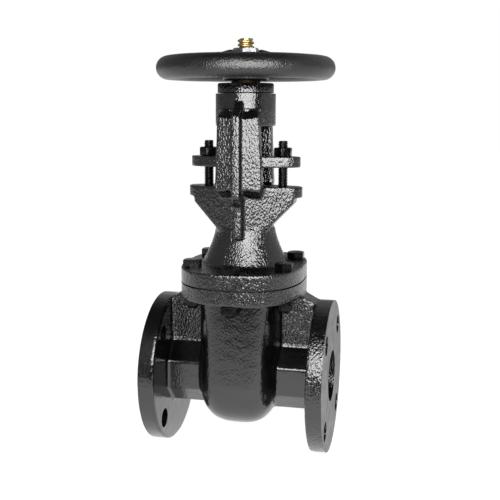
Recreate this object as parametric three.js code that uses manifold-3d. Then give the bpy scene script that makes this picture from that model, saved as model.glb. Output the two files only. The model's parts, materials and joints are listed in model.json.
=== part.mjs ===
// Flanged gate valve with outside screw and yoke, nominal size 2 in (DN 50), class 125 cast iron.
// Millimetres, +Z up. The origin is where the pipe axis (X) crosses the stem axis (Z).
// The valve is modelled closed, with its gate down between the seat rings.
import * as THREE from 'three';
import { mergeVertices } from 'three/addons/utils/BufferGeometryUtils.js';
import Module from 'manifold-3d';

const wasm = await Module();
wasm.setup();

// ---- driving dimensions ----------------------------------------------------------------------
const gap = 0.3; // between pieces that touch
const boreRadius = 25.4; // waterway
const faceX = 88.9; // end flange face, half of the face to face length
const flangeRadius = 76.2;
const flangeThickness = 15.9;
const boltCircleRadius = 60.325;
const boltHoleRadius = 9.525;
const neckApothem = 32.5; // octagonal necks between the bowl and the end flanges
const webHalfWidth = 13.5; // rib above each neck
const webEndZ = 75; // its height where it runs into the end flange

const bowlHalfX = 40; // widest half width of the oval bowl
const bowlFullY = 75; // half length of the oval before its ends are cut flat
const bowlFrontY = 58.5;
const bowlTopFrontY = 54.5;
const bowlBottom = -50;
const chamberHalfX = 17; // gate chamber
const chamberHalfY = 42;

const jointHalfX = 60.5; // bonnet joint outline, a superellipse
const jointHalfY = 72.5;
const jointPower = 2.55;
const bodyFlangeBottom = 82;
const bodyFlangeTop = 97;
const gasketThickness = 1;
const bonnetBottom = bodyFlangeTop + gasketThickness;
const bonnetFlangeTop = 112.4;

const neckWaistRadius = 30; // bonnet neck
const neckFlare = 14;
const neckWaistZ = 147;
const neckDepth = 0.88; // its front to back width as a share of its side to side width
const lugTop = 189; // gland bolting lugs at the top of the stuffing box
const lugThickness = 11;
const lugCentreX = 45;
const lugRadius = 12;
const glandStudX = 37.3;
const stuffingBoxRadius = 24;
const packingRadius = 13.2;
const packingFloor = 154;
const packingCount = 5;
const packingHeight = 5;

const armInnerY = 22; // yoke arms, in front of and behind the stem
const armEdgeY = 33.5; // outer face of an arm at its edges and beside its rib
const armCrownY = 36;
const armTop = 264;
const armFoot = 188;
const armTopHalfX = 20.2;
const armFootHalfX = 23;
const ribHalfX = 4;
const ribFrontY = 45;
const ribTop = 270;
const hubBottom = 247; // yoke hub that holds the yoke nut
const hubTop = 278;
const hubRadius = 29.35;
const capRadius = 27.3;
const capTop = 288;

const stemRadius = 8;
const stemTop = 330;
const stemBore = stemRadius + gap;
const gateRadius = 33;
const gateHalfThickness = 11; // at the pipe axis
const wedgeAngle = 5 * Math.PI / 180;
const teeBottom = 38; // T-head of the stem inside the gate
const teeTop = 43;
const gateTop = 50;
const backseatZ = 143;
const gateLift = 58; // full travel

const rimRadius = 75.4; // handwheel
const rimSection = 11.2;
const rimZ = 302;
const spokeCount = 3;
const spokeTurn = 103 * Math.PI / 180;
const spokeHalfWidth = 7;
const spokeHalfHeight = 5;
const wheelBottom = 290;
const wheelTop = 316;

const boltRadius = 4.8; // 10 mm bolts and studs
const nutAcrossFlats = 16.3;
const bonnetBoltPlaces = [[0, -64.2], [0, 64.2], [-45.5, -33], [45.5, -33], [-45.5, 33], [45.5, 33]];

const guideInnerY = 28.5; // ribs in the chamber that guide the gate
const guideHalfX = 2.8;
const guideBottom = -20;
const guideTop = 96;
const seatPocketX = 30;
const seatPocketRadius = 32;
const bossHalfY = 18; // block on top of the gate that holds the stem
const teeRadius = 11;
const collarRadius = 11.5; // stem collar that meets the backseat when open
const edgeChamfer = 1.5;
const faceRingInner = 25.5;
const faceRingOuter = 31.5;
const faceRingDepth = 2.5;
const faceRingProud = 0.5;

const lugWebHalfY = 26; // webs under the gland lugs
const lugWebEndY = 11;
const webEndX = 50;
const webShoulderZ = 173;
const webFootX = 24.5;
const webFootZ = 147;
const ribFootY = 37; // edge that carries each rib down to the neck
const ribFootTop = 171;
const ribFootBottom = 139.5;
const cavityRadius = 16; // bonnet cavity under the backseat
const cavityMouthRadius = 26;
const bushingRadius = 10.9;
const bushingHead = 3; // flange of the bushing, whose underside is the backseat

const followerBottom = packingFloor + packingCount * packingHeight;
const followerCollar = 17;
const followerCollarHeight = 4;
const glandBottom = 207.3;
const glandTop = 218;
const glandHalfX = 55;
const glandHalfY = 19.2;
const glandEndRadius = 11.6;
const studBottom = 171;
const studTop = 233;
const nutHeight = 8.4;
const boltHeadHeight = 6.4;
const jointBoltEnd = 70;

const sleeveRadius = 15.7; // yoke nut
const sleeveBottom = 249;
const collarOuter = 20.5;
const housingRadius = 21.8;
const thrustBottom = 256;
const thrustTop = 273;
const washerThickness = 2;
const capBore = 14.4;
const capSeam = 0.5; // the line left open under the rim of the cap
const capScrewRadius = 2.5;
const wheelHubRadius = 23;
const wheelSeat = 13;
const wheelSeatTop = wheelTop - 4.5; // shoulder inside the wheel's eye
const wheelThread = 10;
const wheelNutAcrossFlats = 23;
const wheelNutHeight = 5;
const keyInner = 11;
const keyOuter = 15.2;
const keyHalfWidth = 2.4;

// ---- materials -------------------------------------------------------------------------------
const enamel = () => new THREE.MeshStandardMaterial({ color: 0x0b0c0d, roughness: 0.3, metalness: 0.0 });
const blackSteel = () => new THREE.MeshStandardMaterial({ color: 0x17181a, roughness: 0.4, metalness: 0.4 });
const brightSteel = () => new THREE.MeshStandardMaterial({ color: 0xb9bcc0, roughness: 0.3, metalness: 1.0 });
const brass = () => new THREE.MeshStandardMaterial({ color: 0xb08d4a, roughness: 0.3, metalness: 1.0 });
const bronze = () => new THREE.MeshStandardMaterial({ color: 0x9a6b3f, roughness: 0.4, metalness: 1.0 });
const graphite = () => new THREE.MeshStandardMaterial({ color: 0x2b2b2d, roughness: 0.8, metalness: 0.0 });
const gasketSheet = () => new THREE.MeshStandardMaterial({ color: 0x1d1d1e, roughness: 0.9, metalness: 0.0 });

// ---- geometry helpers ------------------------------------------------------------------------
const points2 = (pairs) => pairs.map(([u, v]) => new THREE.Vector2(u, v));

// Turns a closed three.js geometry into a solid that can be joined and cut.
function solid(geometry) {
  if (!geometry.isBufferGeometry) return geometry;
  geometry.deleteAttribute('normal');
  geometry.deleteAttribute('uv');
  const merged = mergeVertices(geometry);
  const corners = merged.index.array;
  const triVerts = [];
  for (let i = 0; i < corners.length; i += 3) {
    const [a, b, c] = corners.slice(i, i + 3);
    if (a !== b && b !== c && c !== a) triVerts.push(a, b, c);
  }
  return new wasm.Manifold(new wasm.Mesh({
    numProp: 3,
    vertProperties: Float32Array.from(merged.attributes.position.array),
    triVerts: Uint32Array.from(triVerts),
  }));
}

const join = (...shapes) => shapes.map(solid).reduce((whole, piece) => whole.add(piece));
const cut = (base, ...tools) => tools.map(solid).reduce((whole, tool) => whole.subtract(tool), solid(base));
const common = (...shapes) => shapes.map(solid).reduce((whole, piece) => whole.intersect(piece));

function toGeometry(shape) {
  const mesh = solid(shape).getMesh();
  const geometry = new THREE.BufferGeometry();
  geometry.setAttribute('position', new THREE.BufferAttribute(Float32Array.from(mesh.vertProperties), 3));
  geometry.setIndex(new THREE.BufferAttribute(Uint32Array.from(mesh.triVerts), 1));
  geometry.computeVertexNormals();
  return geometry;
}

function block([x0, x1], [y0, y1], [z0, z1]) {
  const geometry = new THREE.BoxGeometry(x1 - x0, y1 - y0, z1 - z0);
  return geometry.translate((x0 + x1) / 2, (y0 + y1) / 2, (z0 + z1) / 2);
}

// A round bar along Z from z0 to z1, centred on (x, y).
function bar(radius, z0, z1, sides = 24, x = 0, y = 0) {
  const geometry = new THREE.CylinderGeometry(radius, radius, z1 - z0, sides);
  return geometry.rotateX(Math.PI / 2).translate(x, y, (z0 + z1) / 2);
}

// A round bar along X from x0 to x1, centred on (y, z).
function crossBar(radius, x0, x1, sides = 24, y = 0, z = 0) {
  const geometry = new THREE.CylinderGeometry(radius, radius, x1 - x0, sides);
  return geometry.rotateZ(-Math.PI / 2).translate((x0 + x1) / 2, y, z);
}

// A closed profile of [radius, z] pairs turned about the Z axis.
function turned(profile, sides = 24) {
  const outline = points2(profile);
  if (THREE.ShapeUtils.area(outline) < 0) outline.reverse();
  const closed = outline[0].x === 0 && outline[outline.length - 1].x === 0;
  if (!closed) outline.push(outline[0].clone());
  return new THREE.LatheGeometry(outline, sides).rotateX(Math.PI / 2);
}

const tube = (inner, outer, z0, z1, sides) =>
  turned([[inner, z0], [outer, z0], [outer, z1], [inner, z1]], sides);

// An outline swept along one axis. Outlines are (x, y) for 'z', (y, z) for 'x' and (x, z) for 'y'.
function swept(outline, from, to, axis = 'z', curveSegments = 8) {
  const shape = outline instanceof THREE.Shape ? outline : new THREE.Shape(points2(outline));
  const settings = { depth: to - from, bevelEnabled: false, curveSegments };
  const geometry = new THREE.ExtrudeGeometry(shape, settings);
  const [ex, ey, ez] = [[1, 0, 0], [0, 1, 0], [0, 0, 1]].map((v) => new THREE.Vector3(...v));
  const turn = new THREE.Matrix4();
  if (axis === 'z') return geometry.translate(0, 0, from);
  if (axis === 'x') return geometry.applyMatrix4(turn.makeBasis(ey, ez, ex)).translate(from, 0, 0);
  return geometry.applyMatrix4(turn.makeBasis(ex, ez, ey.negate())).translate(0, to, 0);
}

function superellipse(halfX, halfY, power, count = 48) {
  const part = (value, half) => Math.sign(value) * half * Math.abs(value) ** (2 / power);
  return Array.from({ length: count }, (_, i) => {
    const angle = (i / count) * 2 * Math.PI;
    return [part(Math.cos(angle), halfX), part(Math.sin(angle), halfY)];
  });
}

// The outline of the bonnet joint, drawn in by a margin.
const jointOutline = (margin = 0) => superellipse(jointHalfX - margin, jointHalfY - margin, jointPower);

// An elliptical arc as [u, v] pairs, from one angle to another in degrees.
function arc(cu, cv, ru, rv, startDeg, endDeg, steps) {
  return Array.from({ length: steps + 1 }, (_, i) => {
    const angle = (startDeg + (endDeg - startDeg) * i / steps) * Math.PI / 180;
    return [cu + ru * Math.cos(angle), cv + rv * Math.sin(angle)];
  });
}

const onBothSides = (make) => [-1, 1].map(make);

// The ordered pair of coordinates from near to far on one side of the origin.
const span = (side, near, far) => (side > 0 ? [near, far] : [-far, -near]);

// A regular prism with flats a given distance apart, flats facing +X and -X.
function hexBar(acrossFlats, z0, z1, x = 0, y = 0) {
  const corner = acrossFlats / Math.sqrt(3);
  const geometry = new THREE.CylinderGeometry(corner, corner, z1 - z0, 6);
  return geometry.rotateX(Math.PI / 2).translate(x, y, (z0 + z1) / 2);
}

// ---- body casting ----------------------------------------------------------------------------
// The bowl is an oval turned shape stretched along Y, with flat front and back faces and a round bottom.
function bowl() {
  const roundHeight = 50;
  const roundZ = bowlBottom + roundHeight;
  const profile = [...arc(0, roundZ, bowlHalfX, roundHeight, -90, 0, 8), [bowlHalfX, bodyFlangeTop - 1],
    [0, bodyFlangeTop - 1]];
  profile[0][0] = 0;
  const oval = turned(profile, 40).scale(1, bowlFullY / bowlHalfX, 1);
  const side = [...arc(0, 0, bowlFrontY, -bowlBottom, 180, 360, 20), [bowlTopFrontY, bodyFlangeTop],
    [-bowlTopFrontY, bodyFlangeTop]];
  return common(oval, swept(side, -bowlHalfX - 1, bowlHalfX + 1, 'x'));
}

function neckOctagon() {
  const corner = neckApothem / Math.cos(Math.PI / 8);
  const outline = Array.from({ length: 8 }, (_, i) => {
    const angle = (i + 0.5) * Math.PI / 4;
    return [corner * Math.cos(angle), corner * Math.sin(angle)];
  });
  return swept(outline, -faceX + 1, faceX - 1, 'x');
}

function gateChamber() {
  const outline = [...arc(0, 0, chamberHalfY, chamberHalfY, 180, 360, 16), [chamberHalfY, bodyFlangeTop + 1],
    [-chamberHalfY, bodyFlangeTop + 1]];
  return swept(outline, -chamberHalfX, chamberHalfX, 'x');
}

function bodyCasting() {
  const webEnd = faceX - flangeThickness + 1;
  const webs = swept([[-webEnd, 0], [webEnd, 0], [webEnd, webEndZ], [jointHalfX - 1, bodyFlangeBottom + 1],
    [1 - jointHalfX, bodyFlangeBottom + 1], [-webEnd, webEndZ]], -webHalfWidth, webHalfWidth, 'y');
  const bonnetFlange = swept(jointOutline(), bodyFlangeBottom, bodyFlangeTop);
  const guides = onBothSides((side) =>
    block([-guideHalfX, guideHalfX], span(side, guideInnerY, chamberHalfY + 2), [guideBottom, guideTop]));
  const endFlanges = onBothSides((side) =>
    crossBar(flangeRadius, ...span(side, faceX - flangeThickness, faceX), 48));
  const seatPockets = onBothSides((side) =>
    crossBar(seatPocketRadius, ...span(side, chamberHalfX - 1, seatPocketX), 32));
  const boltHoles = onBothSides((side) => join(...[45, 135, 225, 315].map((degrees) => {
    const [y, z] = arc(0, 0, boltCircleRadius, boltCircleRadius, degrees, degrees, 1)[0];
    return crossBar(boltHoleRadius, ...span(side, faceX - flangeThickness - 1, faceX + 1), 20, y, z);
  })));
  const jointHoles = bonnetBoltPlaces.map(([x, y]) =>
    bar(boltRadius + gap, bodyFlangeBottom - 1, bodyFlangeTop + 1, 12, x, y));
  const outside = join(bowl(), neckOctagon(), webs, bonnetFlange, ...endFlanges);
  const chamber = cut(gateChamber(), ...guides);
  const waterway = crossBar(boreRadius, -faceX - 1, faceX + 1, 32);
  return cut(outside, chamber, waterway, ...seatPockets, ...boltHoles, ...jointHoles);
}

// ---- gate, its face rings and the seat rings --------------------------------------------------
// Every sealing face leans by the wedge angle. Pieces are made about X and turned to face their side.
const faceAt = (offset) => gateHalfThickness + offset;

// The space between the two leaning planes that lie the given offset outside the gate faces.
function wedgeSpace(offset) {
  const reach = 60; // clear of the gate all round
  const half = (z) => faceAt(offset) / Math.cos(wedgeAngle) + z * Math.tan(wedgeAngle);
  const [low, high] = [half(-reach), half(reach)];
  return swept([[-low, -reach], [low, -reach], [high, reach], [-high, reach]], -reach, reach, 'y');
}

// A ring whose axis is square to one leaning gate face, from one offset to another.
function faceRing(side, inner, outer, fromOffset, toOffset) {
  const ring = tube(inner, outer, faceAt(fromOffset), faceAt(toOffset));
  return ring.rotateY(Math.PI / 2).rotateY(wedgeAngle).rotateZ(side > 0 ? 0 : Math.PI);
}

function gateWedge() {
  const across = [-gateRadius, gateRadius];
  const disc = crossBar(gateRadius, ...across, 32);
  const boss = block(across, [-bossHalfY, bossHalfY], [0, gateTop]);
  const guideSlots = onBothSides((side) =>
    block([-guideHalfX - gap, guideHalfX + gap], span(side, guideInnerY - 1, gateRadius + 1), across));
  const teeSlot = block(across, [-teeRadius - gap, teeRadius + gap], [teeBottom - gap, teeTop + gap]);
  const shankSlot = block(across, [-stemBore, stemBore], [teeBottom, gateTop + 1]);
  const ringGrooves = onBothSides((side) =>
    faceRing(side, faceRingInner - gap, faceRingOuter + gap, -faceRingDepth - gap, faceRingDepth));
  return cut(common(join(disc, boss), wedgeSpace(0)), ...guideSlots, teeSlot, shankSlot, ...ringGrooves);
}

function seatRing(side) {
  const ring = tube(boreRadius, seatPocketRadius - gap, 1, seatPocketX - gap).rotateY(Math.PI / 2);
  return cut(ring.rotateZ(side > 0 ? 0 : Math.PI), wedgeSpace(faceRingProud + gap));
}

// ---- stem --------------------------------------------------------------------------------------
function stem() {
  const collarTop = backseatZ - bushingHead - gateLift - gap;
  return turned([[0, teeBottom], [teeRadius, teeBottom], [teeRadius, teeTop], [stemRadius, teeTop],
    [stemRadius, collarTop - 8], [collarRadius, collarTop - 5], [collarRadius, collarTop],
    [stemRadius, collarTop], [stemRadius, stemTop - edgeChamfer], [stemRadius - edgeChamfer, stemTop],
    [0, stemTop]]);
}

// ---- bonnet and yoke, one casting --------------------------------------------------------------
function bonnetNeck() {
  const rise = neckWaistZ - bonnetFlangeTop + 1;
  const flare = [1, 0.85, 0.7, 0.55, 0.4, 0.2, 0].map((drop) =>
    [neckWaistRadius + neckFlare * drop ** 1.4, neckWaistZ - drop * rise]);
  const shoulder = neckWaistRadius - stuffingBoxRadius;
  const neck = turned([[0, bonnetBottom], [neckWaistRadius + neckFlare, bonnetBottom], ...flare,
    [stuffingBoxRadius, neckWaistZ + shoulder], [stuffingBoxRadius, lugTop], [0, lugTop]], 32);
  return neck.scale(1, neckDepth, 1);
}

// Webs that carry the gland lugs and the yoke arms, narrowing to each lug and to the neck.
function lugWebs() {
  const plan = [[-webEndX, -lugWebEndY], [0, -lugWebHalfY], [webEndX, -lugWebEndY], [webEndX, lugWebEndY],
    [0, lugWebHalfY], [-webEndX, lugWebEndY]];
  const front = [[-webEndX, lugTop], [-webEndX, webShoulderZ], [-webFootX, webFootZ], [webFootX, webFootZ],
    [webEndX, webShoulderZ], [webEndX, lugTop]];
  return common(swept(plan, webFootZ - 1, lugTop), swept(front, -lugWebHalfY - 1, lugWebHalfY + 1, 'y'));
}

function lugPlate(halfLength, radius, z0, z1) {
  const outline = [...arc(halfLength - radius, 0, radius, radius, -90, 90, 10),
    ...arc(radius - halfLength, 0, radius, radius, 90, 270, 10)];
  return swept(outline, z0, z1);
}

// The plate of the yoke arm in front of the stem, bowed a little and rounded off at its ends.
function armPlate() {
  const corner = 10;
  const rootY = lugWebHalfY - corner;
  const plan = [[-armFootHalfX, rootY], [armFootHalfX, rootY], [armFootHalfX, armEdgeY],
    [ribHalfX, armCrownY], [-ribHalfX, armCrownY], [-armFootHalfX, armEdgeY]].map(([x, y]) => [x, -y]);
  const face = [[3 - armFootHalfX, armFoot - 8], [-armFootHalfX, armFoot + 2],
    ...arc(corner - armTopHalfX, armTop - corner, corner, corner, 180, 90, 4),
    ...arc(armTopHalfX - corner, armTop - corner, corner, corner, 90, 0, 4),
    [armFootHalfX, armFoot + 2], [armFootHalfX - 3, armFoot - 8]];
  const side = [[-rootY, armFoot - 9], [-lugWebHalfY, armFoot - 7], [2 - armEdgeY, armFoot - 4],
    [-armCrownY, armFoot], [-armCrownY, armTop - corner], [-lugWebHalfY, armTop], [-armInnerY, armTop],
    [-armInnerY, lugTop], [-rootY, lugTop]];
  const plate = common(swept(plan, armFoot - 12, armTop), swept(face, -armCrownY - 1, 0, 'y'));
  return common(plate, swept(side, -armFootHalfX - 1, armFootHalfX + 1, 'x'));
}

// Its rib, which runs from the hub down the middle of the plate and on to the neck as a lower edge.
function armRib() {
  const outline = [[-armInnerY, ribFootBottom], [-ribFootY, ribFootBottom + 1], [-ribFootY, ribFootTop],
    [-ribFootY - 4, ribFootTop + 4], [-ribFrontY, ribFootTop + 10], [-ribFrontY, ribTop - 13],
    [-hubRadius, ribTop], [-armInnerY, ribTop]];
  return swept(outline, -ribHalfX, ribHalfX, 'x');
}

function bonnetCasting() {
  const flange = swept(jointOutline(), bonnetBottom, bonnetFlangeTop);
  const arm = join(armPlate(), armRib());
  const arms = [0, Math.PI].map((turn) => toGeometry(arm).rotateZ(turn));
  const hub = bar(hubRadius, hubBottom, hubTop, 32);
  const lugs = lugPlate(lugCentreX + lugRadius, lugRadius, lugTop - lugThickness, lugTop);
  const outside = join(flange, bonnetNeck(), lugWebs(), lugs, hub, ...arms);
  const stemWay = turned([[0, bonnetBottom - 1], [cavityMouthRadius, bonnetBottom - 1],
    [cavityMouthRadius, bonnetFlangeTop], [cavityRadius, backseatZ - bushingHead - gap],
    [cavityRadius, backseatZ], [bushingRadius + gap, backseatZ], [bushingRadius + gap, packingFloor],
    [packingRadius, packingFloor], [packingRadius, lugTop + 1], [0, lugTop + 1]]);
  const nutHousing = turned([[0, hubBottom - 1], [sleeveRadius + 2 * gap, hubBottom - 1],
    [sleeveRadius + 2 * gap, thrustBottom], [housingRadius, thrustBottom], [housingRadius, hubTop + 1],
    [0, hubTop + 1]]);
  const jointHoles = bonnetBoltPlaces.map(([x, y]) =>
    bar(boltRadius + gap, bonnetBottom - 1, bonnetFlangeTop + 1, 12, x, y));
  const studHoles = onBothSides((side) =>
    bar(boltRadius + gap, studBottom - gap, lugTop + 1, 12, side * glandStudX));
  return cut(outside, stemWay, nutHousing, ...jointHoles, ...studHoles);
}

function gasket() {
  const outline = new THREE.Shape(points2(jointOutline(0.5)));
  outline.holes.push(new THREE.Path(points2(superellipse(chamberHalfX + 9, chamberHalfY + 2, 3, 24))));
  const sheet = swept(outline, bodyFlangeTop, bonnetBottom);
  return cut(sheet, ...bonnetBoltPlaces.map(([x, y]) =>
    bar(boltRadius + gap, bodyFlangeTop - 1, bonnetBottom + 1, 12, x, y)));
}

// ---- fasteners ---------------------------------------------------------------------------------
function hexBolt(headZ, endZ, headHeight) {
  return join(hexBar(nutAcrossFlats, headZ, headZ + headHeight), bar(boltRadius, endZ, headZ + 1, 12));
}

const hexNut = (acrossFlats, hole, z0, z1, sides = 12) =>
  cut(hexBar(acrossFlats, z0, z1), bar(hole, z0 - 1, z1 + 1, sides));

// ---- backseat, packing and gland ---------------------------------------------------------------
function backseatBushing() {
  const [bottom, headTop] = [backseatZ - bushingHead, backseatZ - gap];
  return turned([[stemBore, bottom], [cavityRadius - gap, bottom], [cavityRadius - gap, headTop],
    [bushingRadius, headTop], [bushingRadius, packingFloor - gap], [stemBore, packingFloor - gap]]);
}

function glandFollower() {
  const [outer, top] = [packingRadius - gap, glandBottom - gap];
  const collarBottom = top - followerCollarHeight;
  return turned([[stemBore, followerBottom], [outer, followerBottom], [outer, collarBottom],
    [followerCollar, collarBottom], [followerCollar, top], [stemBore, top]]);
}

// An oval plate with round ends, widest across the stem.
function glandFlange() {
  const quarter = [...arc(glandHalfX - glandEndRadius, 0, glandEndRadius, glandEndRadius, 0, 84, 4),
    [followerCollar, glandHalfY]];
  const upper = [...quarter, ...quarter.map(([x, y]) => [-x, y]).reverse()];
  const outline = [...upper, ...upper.slice(1, -1).map(([x, y]) => [x, -y]).reverse()];
  const plate = swept(outline, glandBottom, glandTop);
  const holes = onBothSides((side) =>
    bar(boltRadius + 2 * gap, glandBottom - 1, glandTop + 1, 12, side * glandStudX));
  return cut(plate, bar(stemBore + 2 * gap, glandBottom - 1, glandTop + 1), ...holes);
}

// ---- yoke nut and what turns with it ------------------------------------------------------------
function yokeNut() {
  const top = wheelTop + wheelNutHeight - 0.5;
  const counterbore = stemBore + 2;
  const [collarBottom, collarTop] = [thrustBottom + washerThickness + gap, thrustTop - washerThickness - gap];
  const sleeve = turned([[counterbore, sleeveBottom], [sleeveRadius, sleeveBottom],
    [sleeveRadius, collarBottom], [collarOuter, collarBottom], [collarOuter, collarTop],
    [capBore - gap, collarTop], [capBore - gap, wheelBottom - gap], [wheelSeat, wheelBottom - gap],
    [wheelSeat, wheelSeatTop - gap], [wheelThread, wheelSeatTop - gap], [wheelThread, top], [stemBore, top],
    [stemBore, sleeveBottom + 22], [counterbore, sleeveBottom + 20]]);
  return cut(sleeve, keySpace(gap));
}

function yokeCap() {
  const [plugRadius, rimBottom] = [housingRadius - gap, hubTop + capSeam];
  const cap = turned([[capBore, thrustTop + gap], [plugRadius, thrustTop + gap], [plugRadius, rimBottom],
    [capRadius, rimBottom], [capRadius, capTop], [capBore, capTop]], 32);
  return cut(cap, capScrew(gap));
}

// Grub screw that locks the cap, in its back.
function capScrew(clearance) {
  const [inner, outer] = [capBore + 1.5 - clearance, capRadius - 1 + 4 * clearance];
  const screw = bar(capScrewRadius + clearance, inner, outer, 12);
  return screw.rotateX(-Math.PI / 2).translate(0, 0, (hubTop + capSeam + capTop) / 2);
}

function keySpace(clearance) {
  const halfWidth = keyHalfWidth + clearance;
  return block([-halfWidth, halfWidth], [keyInner - clearance, keyOuter + clearance],
    [wheelBottom + 1 - clearance, wheelSeatTop - 1.5 + clearance]);
}

// ---- handwheel -----------------------------------------------------------------------------------
// A spoke stands a little above the hub, then falls to the middle of the rim.
function spoke() {
  const path = new THREE.QuadraticBezierCurve3(new THREE.Vector3(wheelSeat + 3, 0, wheelTop - 1),
    new THREE.Vector3(rimRadius * 0.53, 0, wheelTop - 7), new THREE.Vector3(rimRadius - 3, 0, rimZ));
  const section = new THREE.Shape(points2(arc(0, 0, spokeHalfWidth, spokeHalfHeight, 0, 315, 7)));
  return new THREE.ExtrudeGeometry(section, { steps: 5, extrudePath: path });
}

function handwheel() {
  const rim = new THREE.TorusGeometry(rimRadius, rimSection, 10, 48).translate(0, 0, rimZ);
  const hub = turned([[0, wheelBottom], [wheelHubRadius - 2, wheelBottom], [wheelHubRadius, wheelBottom + 3],
    [wheelHubRadius, wheelTop - 10], [wheelHubRadius - 3, wheelTop - 3], [wheelHubRadius - 6, wheelTop],
    [0, wheelTop]]);
  const spokes = Array.from({ length: spokeCount }, (_, i) =>
    spoke().rotateZ(spokeTurn + i * 2 * Math.PI / spokeCount));
  const [eyeRadius, threadHole] = [wheelSeat + gap, wheelThread + gap];
  const eye = turned([[0, wheelBottom - 1], [eyeRadius, wheelBottom - 1], [eyeRadius, wheelSeatTop],
    [threadHole, wheelSeatTop], [threadHole, wheelTop + 1], [0, wheelTop + 1]]);
  const nutSeat = bar(wheelNutAcrossFlats / Math.sqrt(3) + 1, wheelTop, wheelTop + rimSection);
  const keyHalf = keyHalfWidth + gap;
  const keyway = block([-keyHalf, keyHalf], [0, keyOuter + gap], [wheelBottom - 1, wheelSeatTop]);
  return cut(join(rim, hub, ...spokes), eye, nutSeat, keyway);
}

// ---- assembly ------------------------------------------------------------------------------------
const valve = new THREE.Group();

function add(name, shape, material, place = [0, 0, 0], turn = 0) {
  const mesh = new THREE.Mesh(toGeometry(shape), material);
  mesh.name = name;
  mesh.position.set(...place);
  mesh.rotation.z = turn;
  valve.add(mesh);
}

add('body', bodyCasting(), enamel());
for (const [end, side] of [['inlet', -1], ['outlet', 1]]) {
  const ring = faceRing(side, faceRingInner, faceRingOuter, -faceRingDepth, faceRingProud);
  add(`seat_ring_${end}`, seatRing(side), bronze());
  add(`gate_face_ring_${end}`, ring, bronze());
}
add('gate', gateWedge(), bronze());
add('stem', stem(), brass());

add('bonnet_yoke', bonnetCasting(), enamel());
add('bonnet_gasket', gasket(), gasketSheet());
bonnetBoltPlaces.forEach(([x, y], i) => {
  const place = [x, y, 0];
  const turn = x === 0 ? Math.PI / 6 : 0; // a flat of each nut faces the bowl
  const bolt = hexBolt(bonnetFlangeTop, jointBoltEnd, boltHeadHeight);
  const nut = hexNut(nutAcrossFlats, boltRadius + gap, bodyFlangeBottom - nutHeight, bodyFlangeBottom);
  add(`bonnet_bolt_${i + 1}`, bolt, blackSteel(), place, turn);
  add(`bonnet_nut_${i + 1}`, nut, blackSteel(), place, turn);
});

add('backseat_bushing', backseatBushing(), bronze());
for (let i = 0; i < packingCount; i += 1) {
  const z0 = packingFloor + i * packingHeight;
  const ring = tube(stemBore, packingRadius - gap, z0, z0 + packingHeight - gap, 16);
  add(`packing_ring_${i + 1}`, ring, graphite());
}
add('gland_follower', glandFollower(), bronze());
add('gland_flange', glandFlange(), enamel());
for (const [end, side] of [['left', -1], ['right', 1]]) {
  const place = [side * glandStudX, 0, 0];
  const nut = hexNut(nutAcrossFlats, boltRadius + gap, glandTop, glandTop + nutHeight);
  add(`gland_stud_${end}`, bar(boltRadius, studBottom, studTop, 12), blackSteel(), place);
  add(`gland_nut_${end}`, nut, blackSteel(), place);
}

const washer = (inner, z0) => tube(inner, housingRadius - gap, z0, z0 + washerThickness);
add('thrust_washer_lower', washer(sleeveRadius + gap, thrustBottom), bronze());
add('thrust_washer_upper', washer(capBore, thrustTop - washerThickness), bronze());
add('yoke_cap', yokeCap(), enamel());
add('cap_screw', capScrew(0), blackSteel());
add('yoke_nut', yokeNut(), bronze());
add('handwheel', handwheel(), enamel());
add('wheel_key', keySpace(0), blackSteel());
const wheelNut = hexNut(wheelNutAcrossFlats, wheelThread + gap, wheelTop, wheelTop + wheelNutHeight, 24);
add('wheel_nut', wheelNut, brightSteel());

export default valve;
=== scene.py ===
"""Looks of a flanged gate valve with outside screw and yoke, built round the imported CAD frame.

Shapes are made in millimetres in the frame's axes and turned into metres as they become pieces.
X runs along the pipe, Z up the stem, and the yoke arms stand in front of and behind the stem.
"""

import json
import math

import bmesh
import bpy
from mathutils import Matrix, Vector


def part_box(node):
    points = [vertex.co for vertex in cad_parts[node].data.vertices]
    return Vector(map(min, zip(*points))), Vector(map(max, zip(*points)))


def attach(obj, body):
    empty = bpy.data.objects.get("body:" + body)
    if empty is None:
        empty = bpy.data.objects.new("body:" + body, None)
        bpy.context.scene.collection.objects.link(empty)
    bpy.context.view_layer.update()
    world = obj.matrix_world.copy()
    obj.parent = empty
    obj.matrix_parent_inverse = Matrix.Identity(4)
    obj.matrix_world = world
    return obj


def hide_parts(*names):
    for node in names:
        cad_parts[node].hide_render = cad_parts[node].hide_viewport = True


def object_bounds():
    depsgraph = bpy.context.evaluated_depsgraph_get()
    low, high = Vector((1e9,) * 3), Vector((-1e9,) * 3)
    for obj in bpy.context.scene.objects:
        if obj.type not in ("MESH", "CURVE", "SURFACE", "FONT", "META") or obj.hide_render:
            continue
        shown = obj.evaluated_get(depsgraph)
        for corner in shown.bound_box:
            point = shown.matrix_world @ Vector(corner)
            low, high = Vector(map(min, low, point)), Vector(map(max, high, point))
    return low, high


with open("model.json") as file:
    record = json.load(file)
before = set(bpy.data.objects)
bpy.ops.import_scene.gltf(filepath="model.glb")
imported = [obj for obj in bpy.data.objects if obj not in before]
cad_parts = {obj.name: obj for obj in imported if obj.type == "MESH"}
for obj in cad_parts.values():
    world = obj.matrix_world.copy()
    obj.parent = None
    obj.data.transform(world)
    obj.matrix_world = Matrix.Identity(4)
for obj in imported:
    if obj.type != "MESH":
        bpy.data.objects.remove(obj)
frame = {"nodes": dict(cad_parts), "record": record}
cad_low, cad_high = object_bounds()

MM = 0.001


def size(node):
    """Lowest and highest corner of a CAD node, in millimetres."""
    low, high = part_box(node)
    return low / MM, high / MM


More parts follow.
